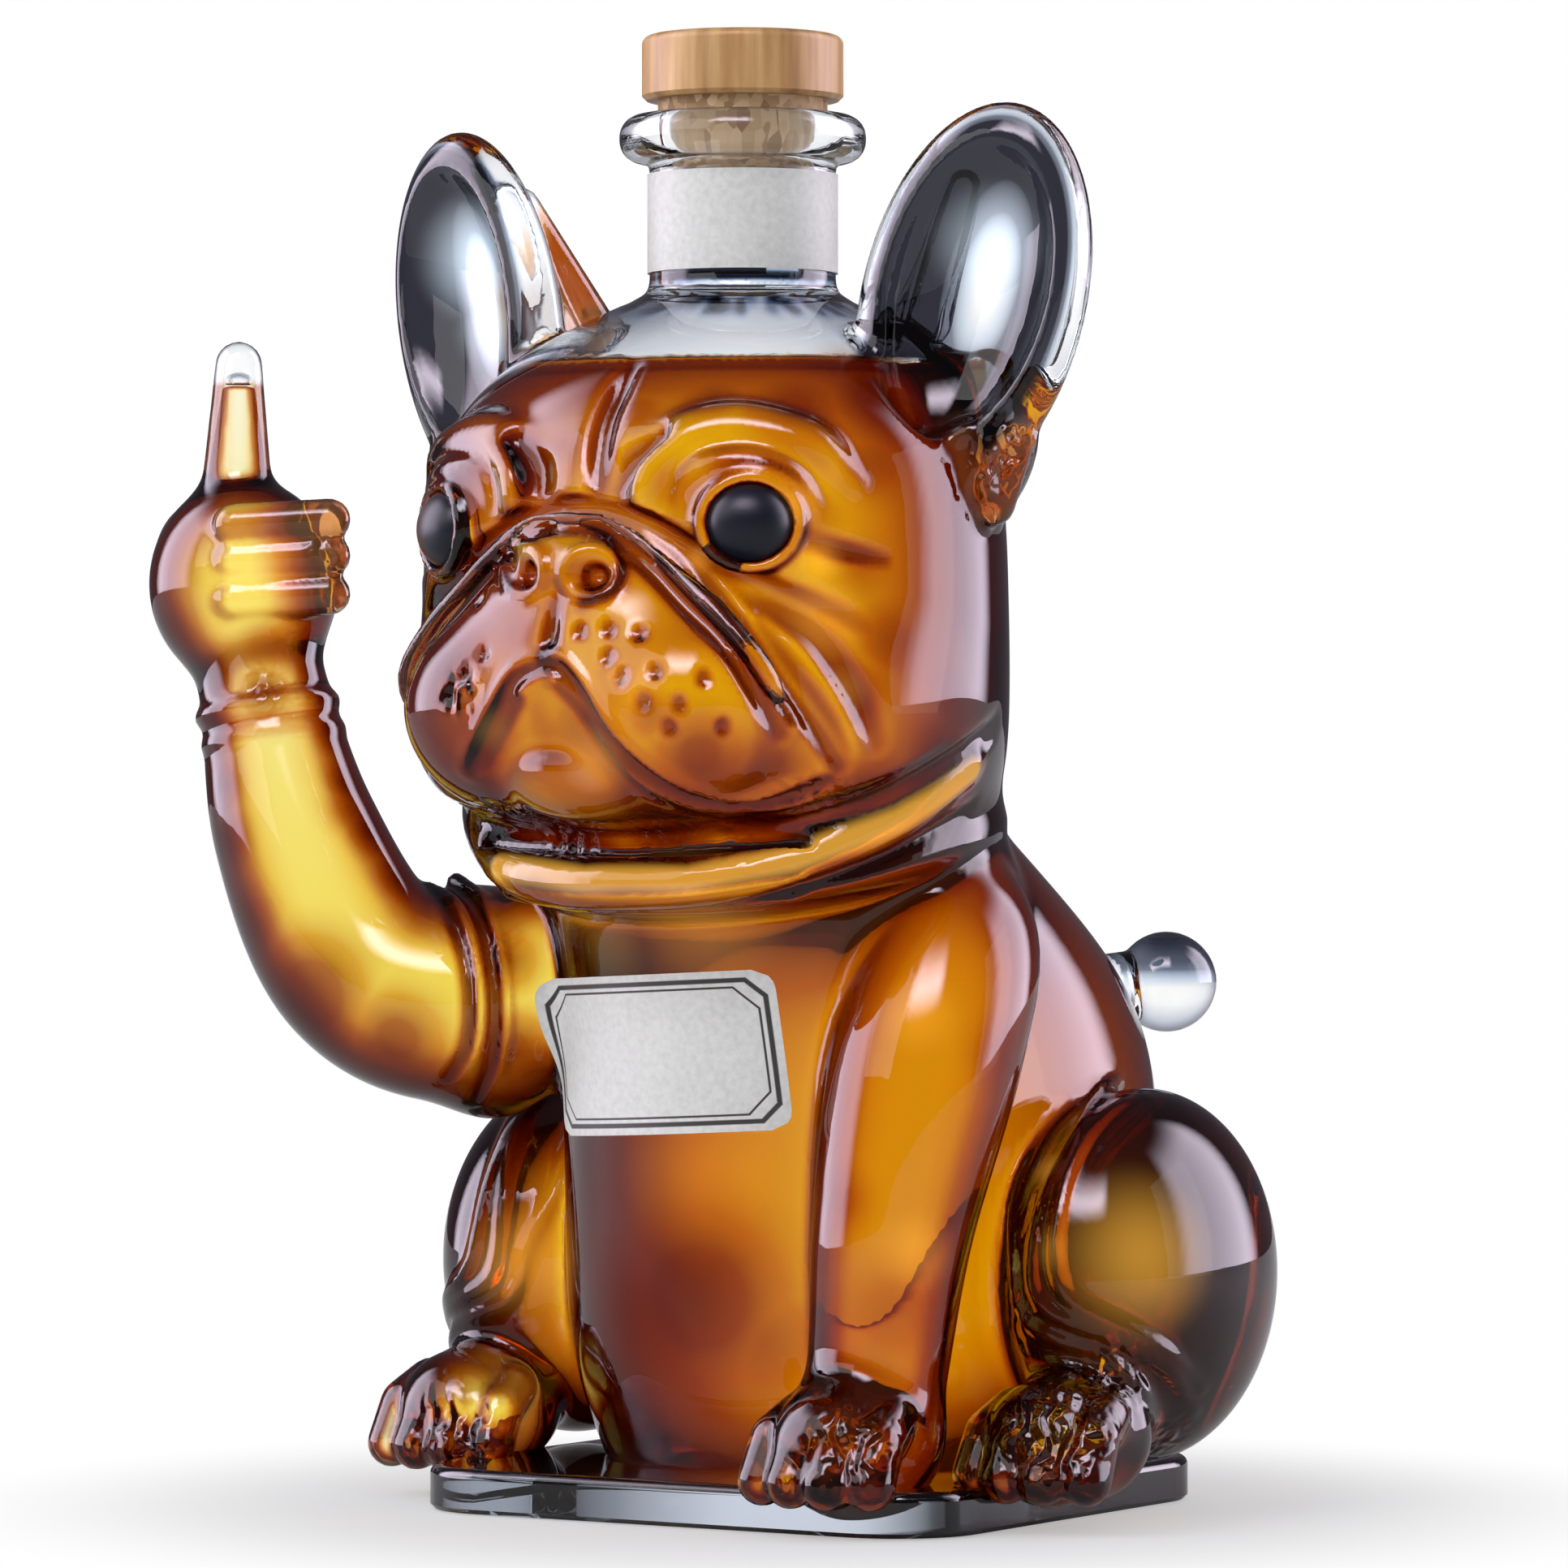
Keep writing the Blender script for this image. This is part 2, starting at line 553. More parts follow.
def face(f):
    """Brows, lids, folds, mouth, nose, chin and dimples on the smooth head, and the body's lines."""
    base = f.copy()
    for line in FACE_LINES:
        crease(f, base, *line)
    f.add(ellipsoid(*CHIN), 2)
    f.add(ellipsoid(*NOSE), 1.5)
    nose = f.copy()
    crease(f, nose, NOSE_OUTLINE, 0.9, 0.6, 0.8, False, False)
    for x, y, wide, tall in NOSTRILS:
        loop = np.column_stack([x + wide * np.cos(NOSTRIL_ROUND), y + tall * np.sin(NOSTRIL_ROUND)])
        loop = on_photo(nose, loop)
        f.add(chain(loop - nose.normals(loop) * NOSTRIL_SINK, [NOSTRIL_RIM] * len(loop)), 0.6)
        pit = on_photo(nose, ((x + wide * 0.15, y + tall * 0.1),))[0]
        f.cut(ellipsoid(pit, PIT, turned(y=20)), 0.6)
        GROOVES.append(ellipsoid(pit, PIT_DARK))
    for line in BODY_LINES:
        crease(f, base, *line)
    for centre in on_photo(base, DIMPLES):
        f.cut(cone(centre, centre + UP * DIMPLE_HEIGHT, *DIMPLE_RADII), 0.4)
        GROOVES.append(cone(centre, centre + UP * DIMPLE_HEIGHT, *DIMPLE_DARK))
    for side in (1, -1):
        ring(f, eye_centre(side), side)


def ring(f, centre, side):
    """The raised rim round an eye, and its socket."""
    turn = turned(z=side * EYE_TURN)
    wide, tall = EYE_HALF[0] + RIM_CLEAR, EYE_HALF[2] + RIM_CLEAR
    flat = np.column_stack([wide * np.cos(ROUND), np.full(len(ROUND), RIM_SET), tall * np.sin(ROUND)])
    f.add(chain(flat @ turn.T + centre, [RIM_RADIUS] * len(ROUND)), 1.0)
    for share in RIM_LINES:
        GROOVES.append(chain(flat * share @ turn.T + centre, [RIM_LINE_RADIUS] * len(ROUND)))
    f.cut(ellipsoid(centre, EYE_HALF, turn, grow=SOCKET_CLEAR), 0.2)


def ear_frame(side):
    """An ear's turn, its centre and the centre of its dish."""
    turn = turned(y=side * EAR_LEAN, z=side * EAR_TURN)
    centre = np.array([side * EAR_PLACE[0], EAR_PLACE[1], EAR_PLACE[2]])
    return turn, centre, centre + turn @ np.array(EAR_DISH_PLACE)


def ears(f):
    """Upright ovals of solid glass with a deep dish in front, on a thick root."""
    (root_x, root_y, root_z), root_half = EAR_ROOT
    for side in (1, -1):
        turn, centre, dish = ear_frame(side)
        f.add(ellipsoid(centre, EAR_HALF, turn), 3)
        f.add(ellipsoid((side * root_x, root_y, root_z), root_half, turn), 3)
        f.cut(ellipsoid(dish, EAR_DISH, turn), 1.0)
        for near, far, thick in EAR_FOLDS:
            ends = [np.array([side * x, y, z]) for x, y, z in (near, far)]
            f.add(cone(*ends, thick, thick * FOLD_TAPER), 1.6)


# Tints that ride on the skin's points

def dish_shade(points):
    """How near a point of an ear's dish is to its rim, from 0 in the middle to 1."""
    shade = np.zeros(len(points))
    for side in (1, -1):
        turn, _, dish = ear_frame(side)
        local = (points - dish) @ turn / np.array(EAR_DISH)
        inside = np.clip((0.3 - np.abs(np.linalg.norm(local, axis=1) - 1)) / 0.2, 0, 1)
        across = np.hypot((local[:, 0] - 0.12) * 1.15, local[:, 2] * 0.85)
        shade = np.maximum(shade, inside * np.clip((across - 0.12) / 0.7, 0, 1))
    return shade


def smoke_shade(points):
    """The ears' dishes, the tail's dark upper side and the dark streaks at the neck's foot."""
    shade = dish_shade(points)
    tail = np.linalg.norm(points - np.array(TAIL_BALL), axis=1) < 13
    shade = np.maximum(shade, tail * np.clip((points[:, 2] - 81) / 7, 0, 0.6))
    around = np.arctan2(points[:, 0], NECK[1] - points[:, 1])
    foot = np.hypot(points[:, 0], points[:, 1] - NECK[1]) < 30
    streaks = 0.5 + 0.5 * np.sin(around * 7 + np.sin(around * 17) * 1.5)
    band = np.exp(-((points[:, 2] - 194.6) / 1.0) ** 2) * 0.55
    spill = np.exp(-((points[:, 2] - 190.2) / 1.6) ** 2) * 0.6 * streaks
    return np.maximum(shade, foot * np.maximum(band, spill))


# Where glass shows copper, by centre, half sizes, reach and strength: the ears' roots, one ear's flank, the
# curled fingers and the wrist
COPPER = (
    ((49, -29, 163), (10, 10, 8), 1.25, 1.0), ((-49, -29, 163), (10, 10, 8), 1.25, 1.0),
    ((-35, -18, 195), (8, 7, 15), 1.25, 1.0), ((-70, -40, 152), (9, 8, 11), 1.2, 0.6),
    ((-80, -38, 124.5), (14, 14, 3.6), 1.2, 0.6),
)
COPPER_FADE = 0.5


def copper_shade(points):
    """Where the glass shows copper, from 0 to 1."""
    shade = np.zeros(len(points))
    for centre, half, reach, strength in COPPER:
        away = np.linalg.norm((points - np.array(centre)) / np.array(half), axis=1)
        shade = np.maximum(shade, np.clip((reach - away) / COPPER_FADE, 0, 1) * strength)
    return shade


# Places on the surface: pixel, reach in millimetres and strength. Where the liquor looks deepest, where
# light gathers in it, where clear glass shines, where gloss is faint and where the surface is crinkled
DEEP = (
    (1084, 493, 16, 0.7), (980, 503, 15, 0.65), (880, 492, 10, 0.55), (790, 505, 7, 0.35),
    (1075, 570, 9, 0.45), (862, 930, 11, 0.7), (960, 940, 10, 0.6), (1060, 700, 7, 0.3),
    (1095, 790, 9, 0.45), (1060, 850, 8, 0.45), (700, 1020, 13, 0.7), (820, 1020, 12, 0.75),
    (940, 1005, 12, 0.75), (1060, 975, 11, 0.7), (1150, 930, 10, 0.6), (600, 900, 8, 0.5),
    (600, 990, 10, 0.7), (700, 560, 8, 0.4), (800, 880, 6, 0.5), (640, 780, 7, 0.35), (560, 620, 7, 0.4),
    (640, 560, 7, 0.45), (830, 600, 7, 0.4), (890, 566, 6, 0.3), (900, 705, 5, 0.3), (862, 1600, 24, 0.8),
    (700, 1560, 13, 0.7), (940, 1650, 16, 0.5), (680, 1400, 11, 0.5), (1100, 1620, 14, 0.4),
    (385, 1225, 16, 0.8), (490, 1280, 13, 0.7), (310, 1140, 10, 0.5), (270, 1040, 7, 0.4),
    (430, 1000, 7, 0.45), (625, 1180, 9, 0.6), (635, 1290, 10, 0.65), (620, 1370, 9, 0.6),
    (330, 800, 8, 0.4), (215, 770, 8, 0.45), (265, 845, 6, 0.7), (325, 852, 7, 0.7), (388, 838, 6, 0.7),
    (262, 905, 7, 0.6), (272, 970, 7, 0.6), (285, 1035, 7, 0.5), (408, 905, 6, 0.6), (424, 965, 6, 0.6),
    (452, 1025, 7, 0.6), (490, 1085, 7, 0.55), (545, 1100, 7, 0.5), (1250, 1130, 12, 0.4),
    (1010, 640, 6, 0.25), (560, 820, 6, 0.3), (1180, 870, 10, 0.4), (1040, 1480, 8, 0.35),
    (1230, 1300, 9, 0.35), (890, 1240, 5, 0.2),
)
GOLD = (
    (1409, 1545, 16, 0.8), (632, 1552, 11, 0.5), (1300, 1540, 5, 0.3), (1290, 1440, 4, 0.3),
    (860, 1135, 16, 0.3), (745, 1150, 12, 0.2), (1130, 1250, 8, 0.3), (1130, 1545, 8, 0.35),
    (770, 850, 10, 0.25), (610, 900, 5, 0.2), (735, 935, 7, 0.45), (1015, 765, 8, 0.4), (985, 620, 5, 0.4),
    (1010, 690, 5, 0.5), (860, 690, 3, 0.4), (850, 1450, 16, 0.25), (300, 710, 9, 0.2), (690, 580, 5, 0.2),
    (1040, 850, 5, 0.3),
)
GLOW = ((585, 320, 12, 1.3), (600, 400, 8, 0.7), (1222, 300, 11, 0.7))
CALM = (
    (700, 1500, 26, 1.0), (640, 1350, 24, 1.0), (760, 1620, 22, 1.0), (700, 1150, 20, 0.8),
    (860, 1500, 24, 0.9),
)
CRINKLE = (
    (700, 1030, 9, 0.5), (800, 1010, 10, 0.6), (900, 1005, 10, 0.6), (1000, 985, 10, 0.6),
    (620, 1000, 7, 0.5), (1298, 1766, 13, 0.9), (1370, 1700, 9, 0.6), (1250, 1620, 8, 0.5),
    (1268, 1500, 6, 0.4), (560, 1770, 12, 0.5), (1050, 1790, 11, 0.5), (620, 1180, 8, 0.4),
    (1240, 560, 9, 0.8), (570, 850, 6, 0.5), (410, 680, 6, 0.5), (330, 850, 6, 0.4), (1420, 1780, 9, 0.5),
)

# The dark band under the liquor's level, the line at the level, and the head's middle and reach
LEVEL_BAND = 13
LEVEL_LINE = (0.8, 1.3)
LEVEL_HEAD = (-22, 44)

# The collar's bright line: its radius, fading and strength
COLLAR_GLOW = (1.2, 1.6, 1.1)

# The drawn lines' strength and fading, and how deep in the glass the liquor shows
LINE_STRENGTH = 0.72
LINE_FADE = 0.6
WET_DEPTH = 8
WET_FADE = 4


def patches(f, points, places):
    """Soft round patches on the surface round pixels of the photograph, as one value for each point."""
    shade = np.zeros(len(points))
    centres = on_photo(f, [place[:2] for place in places])
    for centre, (_, _, reach, strength) in zip(centres, places):
        near = np.clip(1 - np.linalg.norm(points - centre, axis=1) / reach, 0, 1)
        shade = np.maximum(shade, near * near * (3 - 2 * near) * strength)
    return shade


def deep_shade(f, points):
    """The dark patches, and a dark band under the liquor's level."""
    over = points[:, 2] - FILL_RISE
    under = np.clip((over + LEVEL_BAND) / LEVEL_BAND, 0, 1) * (over < 0.5)
    edge = np.clip(1 - np.abs(over + LEVEL_LINE[0]) / LEVEL_LINE[1], 0, 1)
    near = np.hypot(points[:, 0], points[:, 1] - LEVEL_HEAD[0]) < LEVEL_HEAD[1]
    return np.maximum(patches(f, points, DEEP), near * np.maximum(under ** 2 * 0.65, edge * 0.9))


def gold_shade(f, points):
    """The golden patches, the bright line on the collar and the glow in the ears' dishes."""
    radius, fade, strength = COLLAR_GLOW
    away = chain(on_photo(f, COLLAR), [radius] * len(COLLAR))[2](points.T)
    gold = np.maximum(patches(f, points, GOLD), np.clip(1 - away / fade, 0, 1) * strength)
    return np.maximum(gold, patches(f, points, GLOW))


# The whole glass

def glass_forms():
    """The outer glass, and the space inside it that holds the liquor."""
    outer = vessel()
    cavity = vessel(-WALL)
    for spread, forward in PAWS:
        paw(outer, spread, forward)
        paw(cavity, spread, forward, -PAW_WALL)
    add_forms(outer, COLLAR_FORM)
    add_forms(cavity, COLLAR_FORM, -COLLAR_WALL)
    cavity.add(cone(*FINGER_HOLLOW), 3)
    face(outer)
    ears(outer)
    outer.add(cone(TAIL_ROOT, TAIL_BALL, TAIL_STEM_RADIUS, TAIL_STEM_RADIUS), 2)
    outer.add(ellipsoid(TAIL_BALL, [TAIL_BALL_RADIUS] * 3), 1.0)
    hand(outer)
    welds(outer)
    outer.add(disc(NECK, NECK_RADIUS, NECK_FOOT, MOUTH_RISE, 0.8), 3)
    outer.add(disc(NECK, LIP_RADIUS, MOUTH_RISE - LIP_HEIGHT, MOUTH_RISE, 3.4), 0.6)
    cavity.add(disc(NECK, BORE_RADIUS, BORE_FOOT, MOUTH_RISE + BORE_OVER, 0.5), 2)
    return outer, cavity


def hand(f):
    """The raised finger, three curled ones and the thumb's knuckle."""
    f.add(cone(*FINGER), 3)
    root, tip, *radii = CURLED
    for lift in CURLED_LIFTS:
        f.add(cone(np.array(root) + UP * lift, np.array(tip) + UP * lift, *radii), 0.8)
    f.add(ellipsoid(*KNUCKLE), 2)


def welds(f):
    """The swollen seams at the wrist."""
    for centre, radius, tube in WELDS:
        loop = np.column_stack([radius * np.cos(ROUND), radius * np.sin(ROUND), np.zeros(len(ROUND))])
        f.add(chain(loop @ turned(y=WELD_LEAN).T + np.array(centre), [tube] * len(ROUND)), 1.0)


# Meshes

def mesh_object(name, points, faces):
    mesh = bpy.data.meshes.new(name)
    mesh.from_pydata((np.asarray(points) * MM).tolist(), [], np.asarray(faces).tolist())
    mesh.update()
    mesh.polygons.foreach_set("use_smooth", [True] * len(mesh.polygons))
    obj = bpy.data.objects.new(name, mesh)
    bpy.context.scene.collection.objects.link(obj)
    return obj


def field_mesh(name, f):
    """The surface of a field."""
    grid = openvdb.FloatGrid()
    grid.copyFromArray(f.d)
    points, quads = grid.convertToQuads(0.0)
    return mesh_object(name, points * f.voxel + f.low, quads)


# Materials. A ramp has rows of position and colour

CLEAR_RAMP = (
    (0.05, (1, 1, 1)), (0.4, (0.82, 0.85, 0.9)), (0.65, (0.35, 0.38, 0.45)), (0.88, (0.02, 0.02, 0.03)),
)
FULL_RAMP = (
    (0.04, (1, 1, 1)), (0.12, (0.86, 0.67, 0.43)), (0.22, (0.48, 0.21, 0.085)), (0.4, (0.17, 0.042, 0.016)),
    (0.9, (0.02, 0.006, 0.004)),
)
DISH_RAMP = (
    (0.02, (1, 1, 1)), (0.25, (0.45, 0.55, 0.72)), (0.45, (0.05, 0.06, 0.09)), (0.7, (0.001, 0.001, 0.002)),
)
SHADOW_RAMP = (
    (0.0, (1, 1, 1)), (0.3, (0.6, 0.27, 0.08)), (0.6, (0.2, 0.035, 0.005)), (1.0, (0.02, 0.001, 0.0002)),
)
COPPER_RAMP = ((0.0, (1, 1, 1)), (0.5, (0.88, 0.42, 0.14)), (1.0, (0.6, 0.12, 0.01)))
DRAWN_RAMP = (
    (0.0, (1, 1, 1)), (0.3, (0.78, 0.42, 0.2)), (0.6, (0.26, 0.05, 0.014)), (0.85, (0.03, 0.003, 0.001)),
    (1.0, (0.01, 0.001, 0.0005)),
)
SLAB_RAMP = ((0.0, (0.97, 0.98, 1)), (0.5, (0.8, 0.83, 0.88)), (0.9, (0.05, 0.05, 0.06)))
SLAB_ENDS_RAMP = (
    (0.0, (0.004, 0.004, 0.006)), (0.07, (0.08, 0.09, 0.11)), (0.3, (0.5, 0.55, 0.64)),
    (0.62, (0.85, 0.88, 0.95)), (0.88, (0.5, 0.55, 0.62)), (0.97, (0.01, 0.01, 0.012)),
)
LIQUOR_RAMP = (
    (0.0, (1, 1, 1)), (0.1, (1.0, 0.88, 0.66)), (0.22, (0.7, 0.33, 0.12)), (0.4, (0.35, 0.09, 0.02)),
)
EYE_RAMP = ((0.0, (0.004, 0.005, 0.012)), (0.5, (0.006, 0.007, 0.016)), (1.0, (0.05, 0.02, 0.01)))
WOOD_RAMP = ((0.3, (0.28, 0.12, 0.035)), (0.48, (0.5, 0.26, 0.09)), (0.7, (0.72, 0.45, 0.2)))
CORK_RAMP = ((0.1, (0.3, 0.16, 0.07)), (0.5, (0.52, 0.33, 0.17)), (0.9, (0.68, 0.47, 0.27)))
PAPER_RAMP = ((0.35, (0.68, 0.68, 0.66)), (0.5, (0.78, 0.78, 0.76)), (0.65, (0.86, 0.86, 0.84)))
THROUGH_RAMP = (
    (0.0, (0.5, 0.51, 0.55)), (0.38, (0.85, 0.86, 0.9)), (0.46, (1, 1, 1)), (0.62, (1, 1, 1)),
    (0.76, (0.7, 0.72, 0.78)), (0.94, (0.4, 0.42, 0.48)),
)
GLOW_CLEAR = (0.72, 0.86, 1.0)
GLOW_FULL = (1.0, 0.5, 0.06)
CALM_SHINE = (0.12, 0.12, 0.12)
INK = (0.035, 0.032, 0.03)


def plug(tree, socket, value):
    """Sets a socket to a number or a colour, or links another node's output to it."""
    if isinstance(value, bpy.types.NodeSocket):
        tree.links.new(value, socket)
    elif socket.type == "RGBA":
        socket.default_value = (*value, 1)
    else:
        socket.default_value = value


def material(name, **values):
    """A new material, its node tree and its shader."""
    mat = bpy.data.materials.new(name)
    mat.use_nodes = True
    shader = mat.node_tree.nodes["Principled BSDF"]
    for socket, value in values.items():
        plug(mat.node_tree, shader.inputs[socket.replace("_", " ")], value)
    return mat, mat.node_tree, shader


def node(tree, kind, sockets=(), **options):
    """A new node with its options and what its sockets take."""
    made = tree.nodes.new(kind)
    for key, value in options.items():
        setattr(made, key, value)
    for socket, value in dict(sockets).items():
        plug(tree, made.inputs[socket], value)
    return made


def ramp(tree, factor, stops):
    """A colour ramp on a factor."""
    made = node(tree, "ShaderNodeValToRGB", {"Fac": factor})
    band = made.color_ramp.elements
    while len(band) < len(stops):
        band.new(0.5)
    for element, (position, colour) in zip(band, stops):
        element.position = position
        element.color = (*colour, 1)
    return made.outputs["Color"]


def mixed(tree, factor, first, second, blend="MIX"):
    """A colour that runs from the first to the second with the factor."""
    sockets = {0: factor, 6: first, 7: second}
    return node(tree, "ShaderNodeMix", sockets, data_type="RGBA", blend_type=blend).outputs[2]


def tint(tree, colour, *others):
    """One colour seen through others."""
    for other in others:
        colour = mixed(tree, 1, colour, other, "MULTIPLY")
    return colour


def number(tree, operation, *values):
    """A calculation of the node kind: each value is a number or an output."""
    return node(tree, "ShaderNodeMath", dict(enumerate(values)), operation=operation).outputs["Value"]


def value_between(tree, value, low, high, kind="SMOOTHSTEP", start=0.0):
    """From a start to 1 as a value goes from low to high."""
    sockets = {"Value": value, "From Min": low, "From Max": high, "To Min": start}
    return node(tree, "ShaderNodeMapRange", sockets, interpolation_type=kind).outputs["Result"]


def mark(tree, name):
    """What the mesh's points say under a name."""
    return node(tree, "ShaderNodeAttribute", attribute_name=name).outputs["Fac"]


def place(tree, kind="Object"):
    """Coordinates of one kind."""
    return node(tree, "ShaderNodeTexCoord").outputs[kind]


def parts(tree, vector):
    """A vector's three numbers."""
    return node(tree, "ShaderNodeSeparateXYZ", {"Vector": vector}).outputs


def facing(tree):
    """From 0 where the surface faces the viewer to 1 at its edges."""
    return node(tree, "ShaderNodeLayerWeight", {"Blend": 0.5}).outputs["Facing"]


def bumped(tree, shader, height, distance, strength, **normal):
    """Relief on a shader, over an earlier relief's Normal where one is given."""
    sockets = {"Height": height, "Distance": distance, "Strength": strength, **normal}
    relief = node(tree, "ShaderNodeBump", sockets).outputs["Normal"]
    plug(tree, shader.inputs["Normal"], relief)
    return relief


def glass_waves(tree, shader, scale, strength):
    """The faint unevenness that the flame leaves in a glass surface."""
    waves = node(tree, "ShaderNodeTexNoise", {"Scale": scale, "Detail": 1.5, "Vector": place(tree)})
    return bumped(tree, shader, waves.outputs["Fac"], 0.002, strength)


def crinkled(tree, shader, normal):
    """Fine tangled folds where the glass was pinched, strong where the mesh says so."""
    sockets = {"Scale": 95.0, "Distortion": 9.0, "Detail": 2.0, "Detail Scale": 1.6, "Vector": place(tree)}
    folds = node(tree, "ShaderNodeTexWave", sockets, wave_profile="SIN")
    bumped(tree, shader, folds.outputs["Fac"], 0.0016, mark(tree, "crinkle"), Normal=normal)


def blown_glass():
    """Glass whose edges darken: to smoke where it is solid, and to red-brown where liquor lies behind it."""
    mat, tree, shader = material("blown_glass", Roughness=0.01, IOR=1.4, Transmission_Weight=1.0)
    edge, filled, copper = facing(tree), mark(tree, "filled"), mark(tree, "copper")
    dished = tint(tree, ramp(tree, edge, CLEAR_RAMP), ramp(tree, mark(tree, "smoke"), DISH_RAMP))
    plain = mixed(tree, filled, dished, ramp(tree, edge, FULL_RAMP))
    tints = (mark(tree, "deep"), SHADOW_RAMP), (copper, COPPER_RAMP), (mark(tree, "line"), DRAWN_RAMP)
    colour = tint(tree, plain, *(ramp(tree, *row) for row in tints))
    for socket, value in {
        "Base Color": colour,
        "Transmission Weight": number(tree, "SUBTRACT", 1, number(tree, "MULTIPLY", copper, 0.3)),
        "Emission Color": mixed(tree, filled, GLOW_CLEAR, GLOW_FULL),
        "Emission Strength": number(tree, "MULTIPLY", mark(tree, "gold"), 0.55),
        "Specular Tint": mixed(tree, mark(tree, "calm"), (1, 1, 1), CALM_SHINE),
    }.items():
        plug(tree, shader.inputs[socket], value)
    crinkled(tree, shader, glass_waves(tree, shader, 45, 0.05))
    return mat


def slab_glass():
    """Clear glass, dark towards the slab's ends."""
    mat, tree, shader = material("slab_glass", Roughness=0.01, IOR=1.5, Transmission_Weight=1.0)
    ends = ramp(tree, parts(tree, place(tree, "Generated"))["X"], SLAB_ENDS_RAMP)
    plug(tree, shader.inputs["Base Color"], tint(tree, ramp(tree, facing(tree), SLAB_RAMP), ends))
    glass_waves(tree, shader, 30, 0.03)
    return mat


def amber_liquor():
    """Amber that deepens with its thickness, and to red-brown towards its edges.

    It lies inside the glass, which has no inner face where it is wet, so it bends no light of its own.
    """
    mat, tree, shader = material("amber_liquor", Roughness=0.0, IOR=1.0, Transmission_Weight=1.0)
    plug(tree, shader.inputs["Base Color"], ramp(tree, facing(tree), LIQUOR_RAMP))
    body = node(tree, "ShaderNodeVolumeAbsorption", {"Color": (0.956, 0.86, 0.02), "Density": 86.0})
    glow = node(tree, "ShaderNodeEmission", {"Color": (1.0, 0.36, 0.03), "Strength": 0.45})
    both = node(tree, "ShaderNodeAddShader", {0: body.outputs["Volume"], 1: glow.outputs["Emission"]})
    plug(tree, tree.nodes["Material Output"].inputs["Volume"], both.outputs["Shader"])
    return mat


def black_glass():
    """The eyes' black glass, a little brown at its edges."""
    mat, tree, shader = material("black_glass", Roughness=0.38, IOR=1.5, Specular_IOR_Level=0.3)
    plug(tree, shader.inputs["Base Color"], ramp(tree, facing(tree), EYE_RAMP))
    return mat


def turned_wood():
    """Light oiled wood with upright grain."""
    mat, tree, shader = material("turned_wood", Roughness=0.42)
    stretch = node(tree, "ShaderNodeMapping", {"Scale": (260, 260, 22), "Vector": place(tree)})
    sockets = {"Scale": 1.0, "Detail": 6, "Vector": stretch.outputs["Vector"]}
    grain = node(tree, "ShaderNodeTexNoise", sockets).outputs["Fac"]
    plug(tree, shader.inputs["Base Color"], ramp(tree, grain, WOOD_RAMP))
    bumped(tree, shader, grain, 0.0004, 0.25)
    return mat


def cork():
    """Fine agglomerated cork."""
    mat, tree, shader = material("cork", Roughness=0.7)
    grains = node(tree, "ShaderNodeTexVoronoi", {"Scale": 700, "Vector": place(tree)})
    plug(tree, shader.inputs["Base Color"], ramp(tree, grains.outputs["Color"], CORK_RAMP))
    return mat


def label_paper(framed):
    """Silver-grey label paper with a faint fibre. A framed one has two ruled lines with cut corners."""
    mat, tree, shader = material("label_paper", Roughness=0.5)
    where = place(tree)
    fibre = node(tree, "ShaderNodeTexNoise", {"Scale": 900, "Detail": 4, "Vector": where}).outputs["Fac"]
    shade = node(tree, "ShaderNodeTexNoise", {"Scale": 28, "Vector": where}).outputs["Fac"]
    both = number(tree, "ADD", *(number(tree, "MULTIPLY", noise, 0.5) for noise in (fibre, shade)))
    colour = ramp(tree, both, PAPER_RAMP)
    if framed:
        flat = parts(tree, place(tree, "UV"))
        across, up = (number(tree, "ABSOLUTE", flat[axis]) for axis in "XY")
        wide, tall = (size / 2 for size in LABEL_SIZE)
        for inset, corner, thickness in FRAME_LINES:
            rows = (across, wide - inset), (up, tall - inset)
            box = number(tree, "MAXIMUM", *(number(tree, "SUBTRACT", *row) for row in rows))
            both = number(tree, "ADD", across, up)
            slant = number(tree, "SUBTRACT", both, wide + tall - 2 * inset - corner)
            edge = number(tree, "MAXIMUM", box, number(tree, "MULTIPLY", slant, HALF_ROOT))
            edge = number(tree, "ABSOLUTE", edge)
            colour = mixed(tree, value_between(tree, edge, thickness * 0.65, thickness * 0.35), colour, INK)
    plug(tree, shader.inputs["Base Color"], colour)
    bumped(tree, shader, fibre, 0.0002, 0.15)
    return mat


def floor_material():
    """A white floor that takes the object's shadow nearby and is plain white for the camera further off."""
    mat, tree, shader = material("floor", Roughness=0.6, Base_Color=(0.9, 0.9, 0.9), Specular_IOR_Level=0.1)
    away = node(tree, "ShaderNodeVectorMath", {0: place(tree)}, operation="LENGTH").outputs["Value"]
    rays = node(tree, "ShaderNodeLightPath").outputs
    through = number(tree, "MULTIPLY", rays["Is Transmission Ray"], value_between(tree, away, 0.06, 0.3))
    seen = number(tree, "MAXIMUM", rays["Is Camera Ray"], through)
    share = number(tree, "MULTIPLY", value_between(tree, away, 0.07, 0.15, start=0.4), seen)
    plain = node(tree, "ShaderNodeEmission")
    mix = node(tree, "ShaderNodeMixShader", {"Fac": share, 1: shader.outputs[0], 2: plain.outputs[0]})
    plug(tree, tree.nodes["Material Output"].inputs["Surface"], mix.outputs["Shader"])
    return mat


# Stage

# Windows: azimuth and half width in degrees, lower and upper height, and strength
WINDOWS = ((-68, 24, -0.1, 0.75, 8.0), (134, 24, -0.1, 0.75, 8.0), (20, 20, 0.62, 0.8, 22.0))
WINDOW_BLUR = 7
WINDOW_FOOT_BLUR = 0.1
WINDOW_HEAD_BLUR = 0.12
SHINE_FLOOR = 0.12

